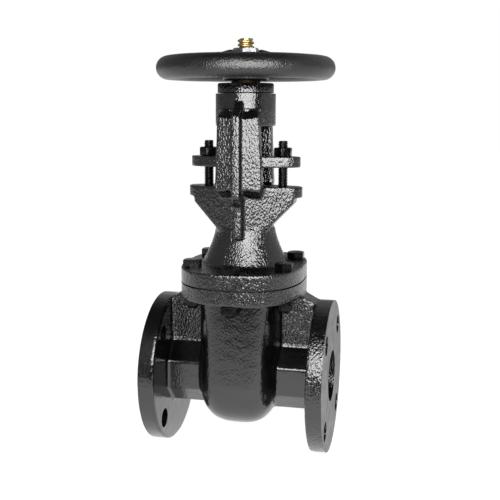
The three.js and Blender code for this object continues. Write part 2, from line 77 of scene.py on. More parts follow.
# ---- sizes, from the frame where it gives them ---------------------------------------------------
body_low, body_high = size("body")
bonnet_low, bonnet_high = size("bonnet_yoke")
stem_low, stem_high = size("stem")
wheel_low = size("handwheel")[0]
stud_low, stud_high = size("gland_stud_right")
gland_low, gland_high = size("gland_flange")
cap_low, cap_high = size("yoke_cap")
nut_low, nut_high = size("gland_nut_right")
bolt_low, bolt_high = size("bonnet_bolt_1")
wheel_nut_low, wheel_nut_high = size("wheel_nut")

gap = 0.3  # between pieces that touch
joint_edge = 0.3  # taken off each joint face, so that the joint shows as a line
reach = 100  # past everything, for cutting blocks
overrun = 9  # how far a cutting tool stands out of the metal
face_x = body_high.x
flange_radius = -body_low.z
flange_thickness = 15.9
bore_radius = 25.4
bolt_circle_radius = 60.325
bolt_hole_radius = 9.525
neck_apothem = 32.5
web_half_width = 13.5
web_end_z = 75
bowl_half_x = 40
bowl_front_y = 58.5
bowl_top_front_y = 54.5
bowl_bottom = -50
bowl_squareness = 3.3
bowl_fullness = 0.84
chamber_half_x = 17
chamber_half_y = 42
guide_half_x = 2.8
guide_inner_y = 28.5
guide_bottom = -20
seat_pocket_radius = 32
seat_pocket_x = 30
joint_half_x = bonnet_high.x
joint_half_y = bonnet_high.y
joint_power = 2.55
body_flange_bottom = 82
body_flange_top = body_high.z
bonnet_bottom = bonnet_low.z
bonnet_flange_top = 112.4
bolt_radius = 4.8
nut_across = nut_high.x - nut_low.x
bonnet_bolts = [(0, -64.2), (0, 64.2), (-45.5, -33), (45.5, -33), (-45.5, 33), (45.5, 33)]
casting_skin = 0.15  # left off the casting's outlines for its uneven skin

neck_radius = 30
neck_flare = 14
neck_top = 147
neck_depth = 0.88
box_radius = 24
lug_top = 189
lug_thickness = 11
lug_centre_x = 45
lug_radius = 12
web_middle_y = 26
web_end_x = 50
web_end_y = 11
web_shoulder_z = 173
web_foot_x = 24.5
cavity_radius = 16
cavity_mouth_radius = 26
backseat_z = 143
bushing_radius = 11.2
packing_radius = 13.2
packing_floor = 154
stud_x = (stud_low.x + stud_high.x) / 2

arm_inner_y = 22
arm_edge_y = 33.5
arm_crown_y = 36
arm_top = 264
arm_foot = 188
arm_top_half_x = 20.2
arm_foot_half_x = 23
rib_half_x = 4
rib_front_y = 45
rib_top = 270
rib_foot_y = 37
rib_foot_top = 171
rib_foot_bottom = 139.5
hub_bottom = 247
hub_top = bonnet_high.z
hub_radius = 29.35
sleeve_way_radius = 16.3
collar_way_radius = 21.8
collar_way_bottom = 256

rim_radius = 75.4
rim_section = 11.2
rim_z = 302
wheel_top = wheel_nut_low.z
wheel_seat = 13
wheel_seat_top = wheel_top - 4.5
sleeve_top_radius = 10.3
stem_radius = 8
stem_pitch = 4
bolt_pitch = 1.5
bolt_thread_depth = 0.8
nut_edge = 0.45
sharp_angle = math.radians(35)
spoke_angles = [math.radians(103 + 120 * i) for i in range(3)]


# ---- mesh helpers --------------------------------------------------------------------------------
def arc(centre_u, centre_v, radius_u, radius_v, start, end, steps):
    """Points of an elliptical arc, angles in degrees."""
    angles = [math.radians(start + (end - start) * i / steps) for i in range(steps + 1)]
    return [(centre_u + radius_u * math.cos(a), centre_v + radius_v * math.sin(a)) for a in angles]


def superellipse(half_x, half_y, power, count=144):
    """A closed outline between an ellipse (power 2) and a rectangle (a high power)."""
    def part(value, half):
        return math.copysign(half * abs(value) ** (2 / power), value)
    angles = [2 * math.pi * i / count for i in range(count)]
    return [(part(math.cos(a), half_x), part(math.sin(a), half_y)) for a in angles]


def solid(verts, faces):
    """A bmesh from vertex places and index faces, with its normals pointing out."""
    bm = bmesh.new()
    made = [bm.verts.new(v) for v in verts]
    for face in faces:
        bm.faces.new([made[i] for i in face])
    bmesh.ops.recalc_face_normals(bm, faces=bm.faces)
    return bm


def lathe(profile, segments=96):
    """(radius, z) pairs turned about Z. The profile starts and ends on the axis or closes on itself."""
    verts, rings = [], []
    for radius, z in profile:
        count = 1 if radius < 1e-6 else segments
        rings.append([len(verts) + i for i in range(count)])
        turns = [2 * math.pi * i / segments for i in range(count)]
        verts += [(radius * math.cos(a), radius * math.sin(a), z) for a in turns]
    closes = len(rings[0]) > 1 and len(rings[-1]) > 1
    faces = []
    for below, above in zip(rings, rings[1:] + rings[:1] if closes else rings[1:]):
        if len(below) == len(above) == 1:
            continue
        for i in range(segments):
            corners = [below[i % len(below)], below[(i + 1) % len(below)],
                       above[(i + 1) % len(above)], above[i % len(above)]]
            faces.append(list(dict.fromkeys(corners)))
    return solid(verts, faces)


def prism(outline, low, high, axis="z"):
    """An outline swept along one axis: (x, y) pairs for z, (y, z) for x and (x, z) for y."""
    places = {
        "x": lambda u, v, w: (w, u, v),
        "y": lambda u, v, w: (u, w, v),
        "z": lambda u, v, w: (u, v, w)}
    place = places[axis]
    n = len(outline)
    verts = [place(u, v, low) for u, v in outline] + [place(u, v, high) for u, v in outline]
    sides = [(i, (i + 1) % n, n + (i + 1) % n, n + i) for i in range(n)]
    bm = solid(verts, [list(range(n)), list(range(n, 2 * n)), *sides])
    bmesh.ops.triangulate(bm, faces=[f for f in bm.faces if len(f.verts) > 4])
    return bm


def tube_faces(rows, segments):
    """Faces of a skin over rows of points, and its two caps."""
    last = (rows - 1) * segments
    faces = []
    for row in range(0, last, segments):
        for i in range(segments):
            a, b = row + i, row + (i + 1) % segments
            faces.append((a, b, b + segments, a + segments))
    return [*faces, list(range(segments)), list(range(last, last + segments))]


def loft(rings):
    """A skin over closed rings of equal count, capped at both ends."""
    verts = [vert for one_ring in rings for vert in one_ring]
    bm = solid(verts, tube_faces(len(rings), len(rings[0])))
    bmesh.ops.triangulate(bm, faces=[f for f in bm.faces if len(f.verts) > 4])
    return bm


def block(low, high):
    (x0, y0, z0), (x1, y1, z1) = low, high
    return prism([(x0, y0), (x1, y0), (x1, y1), (x0, y1)], z0, z1)


def side_block(side, near, far, y, z):
    """A block between two distances from the middle, on the side of X that the sign gives."""
    x0, x1 = sorted((side * near, side * far))
    return block((x0, y[0], z[0]), (x1, y[1], z[1]))


def moved(bm, matrix):
    bm.transform(matrix)
    if matrix.determinant() < 0:
        bmesh.ops.reverse_faces(bm, faces=bm.faces)
    return bm


def bar(radius, z0, z1, x=0, y=0, segments=48):
    """A round bar along Z."""
    upright = lathe([(0, z0), (radius, z0), (radius, z1), (0, z1)], segments)
    return moved(upright, Matrix.Translation((x, y, 0)))


def cross_bar(radius, x0, x1, y=0, z=0, segments=96):
    """A round bar along X."""
    along_x = Matrix.Rotation(math.pi / 2, 4, "Y")
    return moved(bar(radius, x0, x1, segments=segments), Matrix.Translation((0, y, z)) @ along_x)


def side_bar(side, radius, near, far, y=0, z=0, segments=96):
    """A round bar along X between two distances from the middle, on one side of it."""
    return cross_bar(radius, *sorted((side * near, side * far)), y, z, segments)


def together(*parts):
    """One bmesh that holds several closed shells."""
    whole = bmesh.new()
    for part in parts:
        mesh = bpy.data.meshes.new("part")
        part.to_mesh(mesh)
        part.free()
        whole.from_mesh(mesh)
        bpy.data.meshes.remove(mesh)
    return whole


def as_object(name, bm):
    mesh = bpy.data.meshes.new(name)
    bm.to_mesh(mesh)
    bm.free()
    obj = bpy.data.objects.new(name, mesh)
    bpy.context.scene.collection.objects.link(obj)
    return obj


def apply_modifiers(obj):
    evaluated = obj.evaluated_get(bpy.context.evaluated_depsgraph_get())
    mesh = bpy.data.meshes.new_from_object(evaluated)
    obj.modifiers.clear()
    obj.data = mesh
    return obj


def boolean(obj, tool, operation):
    """Joins, cuts or crosses an object with a bmesh tool."""
    other = as_object("tool", tool)
    step = obj.modifiers.new("boolean", "BOOLEAN")
    step.solver = "MANIFOLD"
    step.operation = operation
    step.object = other
    apply_modifiers(obj)
    bpy.data.objects.remove(other)
    return obj


def as_bmesh(obj):
    bm = bmesh.new()
    bm.from_mesh(obj.data)
    bpy.data.objects.remove(obj)
    return bm


def cross(first, *others):
    """The space that all the shapes share."""
    obj = as_object("cross", first)
    for other in others:
        boolean(obj, other, "INTERSECT")
    return as_bmesh(obj)


def cut(first, *tools):
    obj = as_object("cut", first)
    for tool in tools:
        boolean(obj, tool, "DIFFERENCE")
    return as_bmesh(obj)


def half_turn(bm):
    return moved(bm, Matrix.Rotation(math.pi, 4, "Z"))


# ---- pieces --------------------------------------------------------------------------------------
def piece(name, obj, body, material, replaces):
    """Turns a millimetre object into a finished piece that rides on a body and stands for CAD nodes."""
    obj.name = name
    obj.data.name = name
    obj.data.transform(Matrix.Scale(MM, 4))
    obj.data.materials.clear()
    obj.data.materials.append(material)
    obj.data.polygons.foreach_set("use_smooth", [True] * len(obj.data.polygons))
    obj.data.set_sharp_from_angle(angle=sharp_angle)
    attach(obj, body)
    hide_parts(*replaces)
    return obj


def cast(shells, voxel, rounding):
    """A sand casting: the shells fused, their edges rounded, and the skin left a little uneven."""
    obj = as_object("casting", together(*shells))
    fuse = obj.modifiers.new("fuse", "REMESH")
    fuse.mode = "VOXEL"
    fuse.voxel_size = voxel
    soften = obj.modifiers.new("soften", "SMOOTH")
    soften.factor = 0.5
    soften.iterations = rounding
    texture = bpy.data.textures.new("sand", "CLOUDS")
    texture.noise_scale = 11
    texture.noise_depth = 1
    uneven = obj.modifiers.new("uneven", "DISPLACE")
    uneven.texture = texture
    uneven.texture_coords = "LOCAL"
    uneven.strength = 0.22
    uneven.mid_level = 1
    return apply_modifiers(obj)


def machine(obj, *tools):
    """Takes a casting through its cutting tools."""
    for tool in tools:
        boolean(obj, tool, "DIFFERENCE")
    return obj


# ---- body ----------------------------------------------------------------------------------------
def bowl():
    """An oval bowl, squarish in plan and round below, that leans in a little at the front and back."""
    steps = 24
    start = 89  # degrees down from the level of the pipe
    sections = []
    for i in range(steps + 1):
        angle = math.radians(start * (1 - i / steps))
        width = math.cos(angle) ** bowl_fullness
        depth = math.sin(angle) ** bowl_fullness
        sections.append((bowl_half_x * width, bowl_front_y * width, bowl_bottom * depth))
    sections.append((bowl_half_x, bowl_top_front_y, body_flange_top - 1))
    return loft([[(x, y, z) for x, y in superellipse(half_x, half_y, bowl_squareness)]
                 for half_x, half_y, z in sections])


def necks():
    """The octagonal bar that runs from one end flange to the other."""
    corner = neck_apothem / math.cos(math.pi / 8)
    angles = [(i + 0.5) * math.pi / 4 for i in range(8)]
    octagon = [(corner * math.cos(a), corner * math.sin(a)) for a in angles]
    return prism(octagon, -face_x + 1, face_x - 1, "x")


def neck_webs():
    """The upright web over both necks, from flange to flange under the joint."""
    end = face_x - flange_thickness + 1
    shoulder = joint_half_x - 1
    top = body_flange_bottom + 1
    outline = [(-end, 0), (end, 0), (end, web_end_z), (shoulder, top), (-shoulder, top), (-end, web_end_z)]
    return prism(outline, -web_half_width, web_half_width, "y")


def end_flange(side):
    """A round flange whose upper half is a little the larger, as the halves of a mould leave it."""
    inner, outer = face_x - flange_thickness, face_x + 4
    whole = side_bar(side, flange_radius - 0.6, inner, outer, segments=144)
    proud = side_bar(side, flange_radius - 0.2, inner, outer, segments=144)
    upper_half = side_block(side, inner - 1, outer + 1, (-reach, reach), (0, reach))
    return [whole, cross(proud, upper_half)]


def joint_outline(inset):
    """The oval outline of the bonnet joint, drawn in by a distance all round."""
    return superellipse(joint_half_x - inset, joint_half_y - inset, joint_power)


def body_shells():
    """The solid shapes that are fused into the body casting."""
    joint = prism(joint_outline(casting_skin), body_flange_bottom, body_flange_top + 4)
    return [bowl(), necks(), neck_webs(), joint, *end_flange(-1), *end_flange(1)]


def parting_fin(side, face):
    """The ragged line on one side of an end flange where the two halves of the mould met."""
    width = flange_thickness - 1.6
    steps = 14
    edge = []
    for i in range(steps + 1):
        ragged = 0.4 * abs(math.sin(2.7 * i + side + 2 * face))
        edge.append((side * (face_x - 0.8 - width * i / steps), face * (flange_radius - 0.05 - ragged)))
    root = [(x, face * (flange_radius - 3)) for x, _ in reversed(edge)]
    return prism(edge + root, -0.9, 0.3)


def parting_fins():
    return [parting_fin(side, face) for side in (-1, 1) for face in (-1, 1)]


def gate_chamber():
    """The space that the gate slides in, round below, with a guide rib down its front and its back."""
    top = body_flange_top + overrun
    outline = [*arc(0, 0, chamber_half_y, chamber_half_y, 180, 360, 32),
               (chamber_half_y, top), (-chamber_half_y, top)]
    guides = []
    for side in (-1, 1):
        y0, y1 = sorted((side * guide_inner_y, side * (chamber_half_y + 2)))
        guides.append(block((-guide_half_x, y0, guide_bottom), (guide_half_x, y1, body_flange_top - 1)))
    return cut(prism(outline, -chamber_half_x, chamber_half_x, "x"), *guides)


def end_tools(side):
    """What one end flange is machined with: the facing cut and four drills."""
    facing = side_block(side, face_x, face_x + 20, (-reach, reach), (-reach, reach))
    drills = []
    for degrees in (45, 135, 225, 315):
        a = math.radians(degrees)
        drills.append(side_bar(side, bolt_hole_radius, face_x - 20, face_x + overrun,
                               bolt_circle_radius * math.cos(a), bolt_circle_radius * math.sin(a), 48))
    return facing, drills


def bolt_drills(low, high):
    """Drills for the six joint bolts."""
    return [bar(bolt_radius + gap, low, high, x, y) for x, y in bonnet_bolts]


def body_tools():
    """What the body is machined with, the end faces first."""
    (left_facing, left_drills), (right_facing, right_drills) = end_tools(-1), end_tools(1)
    top = block((-reach, -reach, body_flange_top - joint_edge), (reach, reach, body_flange_top + 20))
    waterway = cross_bar(bore_radius, -face_x - overrun, face_x + overrun)
    pockets = [side_bar(side, seat_pocket_radius, 16, seat_pocket_x) for side in (-1, 1)]
    return [left_facing, right_facing, top, gate_chamber(), waterway, *pockets, *left_drills, *right_drills,
            *bolt_drills(body_flange_bottom - 5, body_flange_top + 5)]


# ---- bonnet and yoke -----------------------------------------------------------------------------
def bonnet_neck():
    """The waisted neck and the stuffing box over it, a little narrower from front to back."""
    rise = neck_top - bonnet_flange_top + 1
    steps = 16
    drops = [1 - i / steps for i in range(steps + 1)]
    flare = [(neck_radius + neck_flare * drop ** 1.4, neck_top - drop * rise) for drop in drops]
    foot = bonnet_bottom - 2
    shoulder = neck_radius - box_radius
    profile = [(0, foot), (neck_radius + neck_flare, foot), *flare, (box_radius, neck_top + shoulder),
               (box_radius, lug_top), (0, lug_top)]
    return moved(lathe(profile), Matrix.Diagonal((1, neck_depth, 1, 1)))


def mirrored(half):
    """A whole outline from the half of it that has positive first numbers."""
    return [*half, *[(-u, v) for u, v in reversed(half)]]


def lug_webs():
    """The tapered webs under the gland lugs, thickest in the middle."""
    plan = [(-web_end_x, -web_end_y), (0, -web_middle_y), (web_end_x, -web_end_y), (web_end_x, web_end_y),
            (0, web_middle_y), (-web_end_x, web_end_y)]
    front = mirrored([(web_foot_x, neck_top), (web_end_x, web_shoulder_z), (web_end_x, lug_top)])
    return cross(prism(plan, neck_top - 1, lug_top), prism(front, -web_middle_y - 1, web_middle_y + 1, "y"))


def lug_outline(half_length, radius):
    """A bar with round ends, seen from above."""
    return [*arc(half_length - radius, 0, radius, radius, -90, 90, 24),
            *arc(radius - half_length, 0, radius, radius, 90, 270, 24)]


def arm_plate():
    """The front yoke arm without its rib: thickest in the middle, rounded at the top corners."""
    corner = 10
    root_y = web_middle_y - corner
    plan = mirrored([(arm_foot_half_x, -root_y), (arm_foot_half_x, -arm_edge_y),
                     (rib_half_x, -arm_crown_y)])
    face = mirrored([(arm_foot_half_x - 3, arm_foot - 10), (arm_foot_half_x, arm_foot + 2),
                     *arc(arm_top_half_x - corner, arm_top - corner, corner, corner, 0, 90, 12)])
    side = [(-root_y, arm_foot - 10), (-web_middle_y + 2, arm_foot - 8), (2 - arm_edge_y, arm_foot - 4),
            (-arm_crown_y, arm_foot), (-arm_crown_y, arm_top - corner), (1 - web_middle_y, arm_top),
            (-arm_inner_y, arm_top), (-arm_inner_y, lug_top), (-root_y, lug_top)]
    return cross(prism(plan, arm_foot - 12, arm_top), prism(face, -arm_crown_y - 1, 0, "y"),
                 prism(side, -arm_foot_half_x - 1, arm_foot_half_x + 1, "x"))


def arm_rib():
    """The rib down the middle of the front arm, from the hub to the neck."""
    outline = [(-15, rib_foot_bottom), (-rib_foot_y, rib_foot_bottom), (-rib_foot_y, rib_foot_top),
               (-rib_foot_y - 4, rib_foot_top + 4), (-rib_front_y, rib_foot_top + 10),
               (-rib_front_y, rib_top - 13), (-hub_radius, rib_top), (-arm_inner_y, rib_top),
               (-arm_inner_y, lug_top), (-15, lug_top)]
    return prism(outline, -rib_half_x, rib_half_x, "x")


def bonnet_shells():
    """The solid shapes that are fused into the bonnet and its yoke."""
    flange = prism(joint_outline(casting_skin), bonnet_bottom - 4, bonnet_flange_top)
    lugs = prism(lug_outline(lug_centre_x + lug_radius, lug_radius), lug_top - lug_thickness, lug_top)
    hub = bar(hub_radius, hub_bottom, hub_top + 4, segments=144)
    return [flange, bonnet_neck(), lug_webs(), lugs, hub, arm_plate(), arm_rib(), half_turn(arm_plate()),
            half_turn(arm_rib())]


def stem_way():
    """The bored way for the stem: cavity, backseat bushing and stuffing box."""
    foot = bonnet_bottom - overrun
    return lathe([(0, foot), (cavity_mouth_radius, foot), (cavity_mouth_radius, 113), (22, 124),
                  (cavity_radius, 138), (cavity_radius, backseat_z), (bushing_radius, backseat_z),
                  (bushing_radius, packing_floor), (packing_radius, packing_floor),
                  (packing_radius, lug_top + overrun), (0, lug_top + overrun)])


def hub_way():
    """The bored way for the yoke nut, wider above for its collar and washers."""
    foot, top = hub_bottom - overrun, hub_top + overrun
    return lathe([(0, foot), (sleeve_way_radius, foot), (sleeve_way_radius, collar_way_bottom),
                  (collar_way_radius, collar_way_bottom), (collar_way_radius, top), (0, top)])


def bonnet_tools():
    """What the bonnet is machined with: faced below and above, then bored and drilled."""
    below = block((-reach, -reach, bonnet_bottom - 20), (reach, reach, bonnet_bottom + joint_edge))
    above = block((-reach, -reach, hub_top), (reach, reach, hub_top + 20))
    stud_holes = [bar(bolt_radius + gap, stud_low.z - gap, lug_top + 5, side * stud_x) for side in (-1, 1)]
    return [below, above, stem_way(), hub_way(), *bolt_drills(bonnet_bottom - 5, bonnet_flange_top + 5),
            *stud_holes]


def gasket():
    """The joint's ring of sheet, set back from the edge so that the joint reads as a dark line."""
    below, above = body_flange_top - 5, bonnet_bottom + 5
    ring_sheet = prism(joint_outline(2.2), body_flange_top + 0.02, bonnet_bottom - 0.02)
    mouth = prism(superellipse(chamber_half_x + 9, chamber_half_y + 2, 3), below, above)
    return cut(ring_sheet, mouth, *bolt_drills(below, above))


# ---- turned pieces and fasteners -----------------------------------------------------------------
def even_rows(profile, pitch, steps):
    """The outline's points, with more between them along its long stretches."""
    rows = []
    for (r0, z0), (r1, z1) in zip(profile, profile[1:]):
        long = z1 - z0 > pitch
        count = max(1, round((z1 - z0) / pitch * steps)) if long else 1
        rows += [(r0 + (r1 - r0) * i / count, z0 + (z1 - z0) * i / count) for i in range(count)]
    return [*rows, profile[-1]]


def threaded(profile, pitch, depth, start, end, hand=1, segments=40, steps=12):
    """A bar of (radius, z) outline whose skin carries a screw thread between two heights."""
    rows = even_rows(profile, pitch, steps)
    verts = []
    for radius, z in rows:
        fade = min(1, max(0, (z - start) / pitch), max(0, (end - z) / pitch))
        for i in range(segments):
            turn = i / segments
            wave = abs(((z / pitch - hand * turn) % 1) * 2 - 1)
            groove = min(1, max(0, (wave - 0.3) / 0.4)) * depth
            r = max(radius - groove * fade, 0.05)
            verts.append((r * math.cos(2 * math.pi * turn), r * math.sin(2 * math.pi * turn), z))
    return solid(verts, tube_faces(len(rows), segments))


def stem():
    """A T-head that holds the gate, a collar that meets the backseat, and a left-handed thread above."""
    head_radius, head_top = 11, 43
    collar_radius, collar_top = 11.5, 81.7
    thread_start, thread_depth = 212, 1.7
    edge = 1.2
    thread_end = stem_high.z + stem_pitch
    profile = [(head_radius, stem_low.z), (head_radius, head_top), (stem_radius, head_top + 0.01),
               (stem_radius, collar_top - 8), (collar_radius, collar_top - 5), (collar_radius, collar_top),
               (stem_radius, collar_top + 0.01), (stem_radius, stem_high.z - edge),
               (stem_radius - edge, stem_high.z)]
    return threaded(profile, stem_pitch, thread_depth, thread_start, thread_end, hand=-1, segments=48)


def hexagon(across, z0, z1, low_chamfer, high_chamfer):
    """A hexagonal bar with its corners turned off at either end."""
    corner = across / math.sqrt(3)
    outer = corner + 0.2
    flat = across / 2 * 0.985
    rise = (outer - flat) * math.tan(math.radians(30))
    low = [(flat, z0), (outer, z0 + rise)] if low_chamfer else [(outer, z0)]
    high = [(outer, z1 - rise), (flat, z1)] if high_chamfer else [(outer, z1)]
    turned = lathe([(0, z0), *low, *high, (0, z1)], 72)
    return cross(prism(arc(0, 0, corner, corner, 30, 330, 5), z0, z1), turned)


def nut(across, hole, z0, z1):
    """A hexagonal nut, its hole countersunk at both ends."""
    flare = hole + 1.6
    way = [(0, z1 + 1), (flare, z1 + 1), (hole, z1 - 0.6), (hole, z0 + 0.6), (flare, z0 - 1), (0, z0 - 1)]
    return cut(hexagon(across, z0, z1, True, True), lathe(way, 48))


def bolt(head_z, end_z, head_height):
    """A hexagon head over a shank that is threaded at its lower end."""
    edge = bolt_thread_depth
    thread_length = 22
    shank = [(bolt_radius - edge, end_z), (bolt_radius, end_z + edge), (bolt_radius, head_z + 1)]
    head = hexagon(nut_across, head_z, head_z + head_height, False, True)
    return together(head, threaded(shank, bolt_pitch, bolt_thread_depth, end_z - 2, end_z + thread_length,
                                   segments=24, steps=8))


def stud(z0, z1):
    """A bar threaded from end to end."""
    edge = 0.9
    profile = [(bolt_radius - edge, z0), (bolt_radius, z0 + edge), (bolt_radius, z1 - edge),
               (bolt_radius - edge, z1)]
    return threaded(profile, bolt_pitch, bolt_thread_depth, z0 - 2, z1 + 2, segments=24, steps=8)


def eased(obj):
    """Rounds the sharp edges of a small piece."""
    modifier = obj.modifiers.new("edges", "BEVEL")
    modifier.width = nut_edge
    modifier.segments = 2
    modifier.limit_method = "ANGLE"
    modifier.angle_limit = sharp_angle
    return apply_modifiers(obj)


def gland_shells():
    """The gland's plate: wide round the stem, tapered to a round end over each stud."""
    length = gland_high.x - 0.1
    quarter = [(length, 0), (length - 1.4, 4.5), (length - 5, 8.6), (length - 10.6, 11.6), (17, 19)]
    upper = mirrored(quarter)
    outline = upper + [(x, -y) for x, y in reversed(upper[1:-1])]
    return [prism(outline, gland_low.z + 0.1, gland_high.z - 0.1)]


def gland_tools():
    """Drills for the stem and the two studs."""
    low, high = gland_low.z - 5, gland_high.z + 5
    stem_hole = bar(stem_radius + 1, low, high, segments=72)
    return [stem_hole, *[bar(bolt_radius + 2 * gap, low, high, side * stud_x) for side in (-1, 1)]]


def gland_follower():
    """The bushing that presses the packing, with a collar under the gland's plate."""
    low, high = size("gland_follower")
    hole = stem_radius + gap
    outer = packing_radius - gap
    edge = 0.6
    collar_low = high.z - 4
    return lathe([(hole, low.z), (outer - edge, low.z), (outer, low.z + edge), (outer, collar_low),
                  (high.x, collar_low), (high.x, high.z - edge), (high.x - edge, high.z), (hole, high.z)])


def yoke_cap():
    """The screwed cap over the yoke nut, with a hole for its locking screw."""
    outer, inner, plug = cap_high.x, 14.4, 21.5
    seam = hub_top + 0.5
    top = cap_high.z
    edge = 0.6
    cap = lathe([(inner, cap_low.z), (plug, cap_low.z), (plug, seam), (outer - edge, seam),
                 (outer, seam + edge), (outer, top - 1.5), (outer - 0.5, top - 0.5), (outer - 1.5, top),
                 (inner + edge, top), (inner, top - edge)], 144)
    low, high = size("cap_screw")
    middle = (low.z + high.z) / 2
    turn = Matrix.Translation((0, 0, middle)) @ Matrix.Rotation(-math.pi / 2, 4, "X")
    return cut(cap, moved(bar(2.8, low.y - gap, high.y + 5), turn))


def yoke_nut():
    """The sleeve that turns in the hub, with a thrust collar below and a seat for the wheel above."""
    low, high = size("yoke_nut")
    thread, clear = sleeve_top_radius, stem_radius + gap
    sleeve, collar, neck, top = 15.7, 20.5, 14.1, 10
    collar_low, collar_high = 258.3, 270.7
    shoulder = wheel_low.z - gap
    end = wheel_top - 5
    shape = lathe([(thread, low.z), (sleeve, low.z), (sleeve, collar_low), (collar, collar_low),
                   (collar, collar_high), (neck, collar_high), (neck, shoulder), (wheel_seat, shoulder),
                   (wheel_seat, end), (top, end), (top, high.z - 0.5), (top - 0.5, high.z), (clear, high.z),
                   (clear, low.z + 22), (thread, low.z + 20)])
    key_low, key_high = size("wheel_key")
    margin = Vector((gap, gap, gap))
    return cut(shape, block(key_low - margin, key_high + margin))


def seat_ring(side):
    """A ring let into the body, its face cut to the gate's slope."""
    high = size("seat_ring_outlet")[1]
    upright = lathe([(bore_radius, 1), (high.y, 1), (high.y, high.x), (bore_radius, high.x)])
    along_x = moved(upright, Matrix.Rotation(math.pi / 2, 4, "Y"))
    lean = math.radians(5)
    half_gate, proud = 11, 0.5
    far = 60
    near = (half_gate + proud + gap) / math.cos(lean)
    low_x, high_x = near - far * math.tan(lean), near + far * math.tan(lean)
    wedge = prism([(-90, -far), (low_x, -far), (high_x, far), (-90, far)], -far, far, "y")
    sloped = cut(along_x, wedge)
    return half_turn(sloped) if side < 0 else sloped


# ---- handwheel -----------------------------------------------------------------------------------
def swept_tube(points, widths, heights, segments=24):
    """A tube of oval section along points that lie in the XZ plane."""
    verts = []
    for i, (x, z) in enumerate(points):
        before, after = points[max(i - 1, 0)], points[min(i + 1, len(points) - 1)]
        tangent = Vector((after[0] - before[0], 0, after[1] - before[1])).normalized()
        up = Vector((-tangent.z, 0, tangent.x))
        for k in range(segments):
            a = 2 * math.pi * k / segments
            verts.append(Vector((x, widths[i] * math.cos(a), z)) + up * heights[i] * math.sin(a))
    return solid(verts, tube_faces(len(points), segments))


def spoke():
    """One spoke along X: an oval bar that bends down from the hub to the rim and is slimmest halfway."""
    start, middle, end = (15, wheel_top - 1), (rim_radius * 0.53, wheel_top - 7), (rim_radius - 3, rim_z)
    steps = 16
    points, widths, heights = [], [], []
    for i in range(steps + 1):
        t = i / steps
        p, q, r = (1 - t) ** 2, 2 * t * (1 - t), t * t
        points.append([p * a + q * b + r * c for a, b, c in zip(start, middle, end)])
        widths.append(6.9 - 1.2 * math.sin(math.pi * t))
        heights.append(4.9 - 0.5 * math.sin(math.pi * t))
    return swept_tube(points, widths, heights)


def ring(radius, section, z, segments=160, sides=40):
    """A closed ring of round section, made by turning its section."""
    return lathe([(radius + u, v) for u, v in arc(0, z, section, section, 0, 360, sides)[:-1]], segments)


def wheel_shells():
    """The rim, the domed hub and the spokes."""
    low, outer = wheel_low.z, 22.7
    top = wheel_top - 0.3
    hub = lathe([(0, low), (outer - 1.7, low), (outer, low + 2.4), (outer, top - 8.7), (20.5, top - 3.2),
                 (17, top), (0, top)])
    spokes = [moved(spoke(), Matrix.Rotation(a, 4, "Z")) for a in spoke_angles]
    return [ring(rim_radius, rim_section - 0.1, rim_z), hub, *spokes]


def wheel_tools():
    """The eye for the sleeve, the seat of the wheel nut and the keyway."""
    low, high = wheel_low.z - overrun, wheel_top + overrun
    eye_radius = wheel_seat + gap
    eye = lathe([(0, low), (eye_radius, low), (eye_radius, wheel_seat_top),
                 (sleeve_top_radius, wheel_seat_top), (sleeve_top_radius, high), (0, high)])
    nut_seat = bar(14.4, wheel_top - 0.05, high, segments=72)
    keyway = block((-2.7, 0, low), (2.7, 15.5, wheel_seat_top))
    return [eye, nut_seat, keyway]


# ---- materials -----------------------------------------------------------------------------------
class Nodes:
    """Short hand for building one node tree."""

    def __init__(self, tree):
        self.tree = tree
        tree.nodes.clear()

    def add(self, kind, inputs=(), **settings):
        node = self.tree.nodes.new(kind)
        for key, value in settings.items():
            setattr(node, key, value)
        for key, value in dict(inputs).items():
            self.feed(node.inputs[key], value)
        return node

    def feed(self, socket, value):
        if isinstance(value, bpy.types.NodeSocket):
            self.tree.links.new(value, socket)
        else:
            socket.default_value = value

    def math(self, operation, a, b=0.0):
        return self.add("ShaderNodeMath", {0: a, 1: b}, operation=operation).outputs[0]

    def remap(self, value, low, high, to_low=0.0, to_high=1.0, smooth=False):
        limits = {"Value": value, "From Min": low, "From Max": high, "To Min": to_low, "To Max": to_high}
        kind = "SMOOTHSTEP" if smooth else "LINEAR"
        return self.add("ShaderNodeMapRange", limits, interpolation_type=kind).outputs["Result"]

    def noise(self, place, scale, detail, roughness):
        return self.add("ShaderNodeTexNoise", {
            "Vector": place, "Scale": scale, "Detail": detail, "Roughness": roughness}).outputs["Fac"]

    def mix_colour(self, fac, a, b):
        return self.add("ShaderNodeMix", {0: fac, 6: a, 7: b}, data_type="RGBA").outputs[2]

    def bump(self, height, distance):
        inputs = {"Height": height, "Distance": distance, "Strength": 1.0}
        return self.add("ShaderNodeBump", inputs).outputs["Normal"]


def per_mm(size_mm):
    """Noise scale whose features are about this many millimetres across."""
    return 1 / (size_mm * MM)


def new_material(name):
    """An empty material, its nodes and the place on the object in metres."""
    material = bpy.data.materials.new(name)
    material.use_nodes = True
    n = Nodes(material.node_tree)
    place = n.add("ShaderNodeTexCoord").outputs["Object"]
    return material, n, place


def finish_material(n, shader):
    n.tree.links.new(shader.outputs["BSDF"], n.add("ShaderNodeOutputMaterial").inputs["Surface"])


